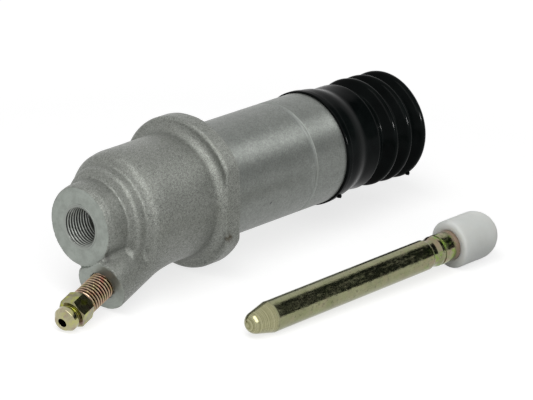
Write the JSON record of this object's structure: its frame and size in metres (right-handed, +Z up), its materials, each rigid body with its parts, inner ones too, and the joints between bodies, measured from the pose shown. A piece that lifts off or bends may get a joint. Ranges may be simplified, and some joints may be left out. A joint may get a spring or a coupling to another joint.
{
  "type": "clutch slave cylinder",
  "caption": "Hydraulic slave cylinder: cast body with port, bleeder, flange, turned barrel and rubber boot, its push rod lying beside it.",
  "frame": {"origin": "on the bore axis, at the flange's flat seat face where the barrel leaves it", "axes": "+X along the bore from the port towards the boot, +Z up as the part lies, -Y towards the flange's flat"},
  "size_m": [0.1531, 0.0865, 0.0462],
  "materials": {
    "cast_aluminium": "sand-cast with turned faces",
    "yellow_zinc": "yellow zinc plating",
    "spring_steel": "plain",
    "bright_steel": "plain",
    "piston_aluminium": "turned",
    "seal_rubber": "moulded",
    "boot_rubber": "moulded",
    "nylon": "translucent white"
  },
  "bodies": {
    "cylinder": {"cylinder_body": "cast_aluminium", "dust_boot": "boot_rubber", "stop_washer": "bright_steel", "retaining_ring": "spring_steel", "return_spring": "spring_steel", "push_rod": "yellow_zinc", "push_rod_cap": "nylon"},
    "piston_body": {"piston": "piston_aluminium", "pressure_cup": "seal_rubber", "piston_seal": "seal_rubber", "spring_seat": "bright_steel"},
    "bleeder": {"bleeder_screw": "yellow_zinc"}
  },
  "joints": [
    {"name": "piston_stroke", "type": "slide", "parent": "cylinder", "child": "piston_body", "axis": [1, 0, 0], "range_m": [-0.025, 0], "stiffness_N_per_m": 1000, "springref_m": 0.02, "deforming": ["return_spring"]},
    {"name": "bleeder_turn", "type": "hinge", "parent": "cylinder", "child": "bleeder", "pos_m": [-0.0439, -0.00817, -0.01536], "axis": [-0.95, -0.1466, -0.2758], "range_deg": [-1620, 720]}
  ]
}
